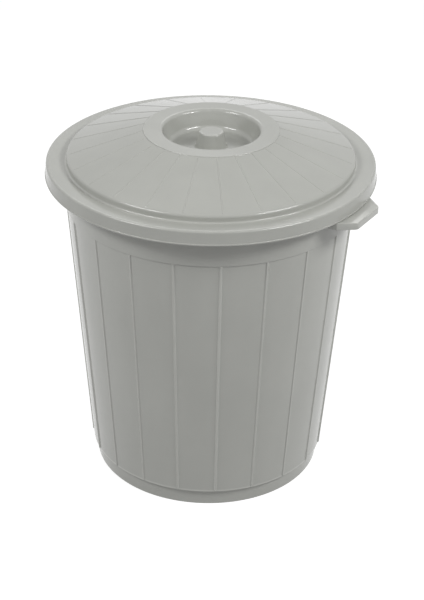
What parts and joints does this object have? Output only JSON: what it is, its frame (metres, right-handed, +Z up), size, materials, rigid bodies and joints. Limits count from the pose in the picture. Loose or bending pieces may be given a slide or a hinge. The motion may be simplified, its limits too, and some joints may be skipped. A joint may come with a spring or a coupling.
{
  "type": "lidded waste bin",
  "caption": "Round tapered waste bin with ribbed wall panels, rim handles and a loose conical lid with a knob in a sunk well.",
  "frame": {"origin": "middle of the foot, on the floor that the bin stands on", "axes": "+Z up along the bin's axis, the handles on +X and -X"},
  "size_m": [0.4966, 0.463, 0.5166],
  "materials": {
    "tub_plastic": "moulded grey plastic with a soft satin sheen",
    "lid_plastic": "moulded grey plastic with a soft satin sheen"
  },
  "bodies": {
    "tub_body": {"tub": "tub_plastic"},
    "lid_body": {"lid": "lid_plastic"}
  },
  "joints": [
    {"name": "lid_lift", "type": "slide", "parent": "tub_body", "child": "lid_body", "axis": [0, 0, 1], "range_m": [0, 0.3]}
  ]
}
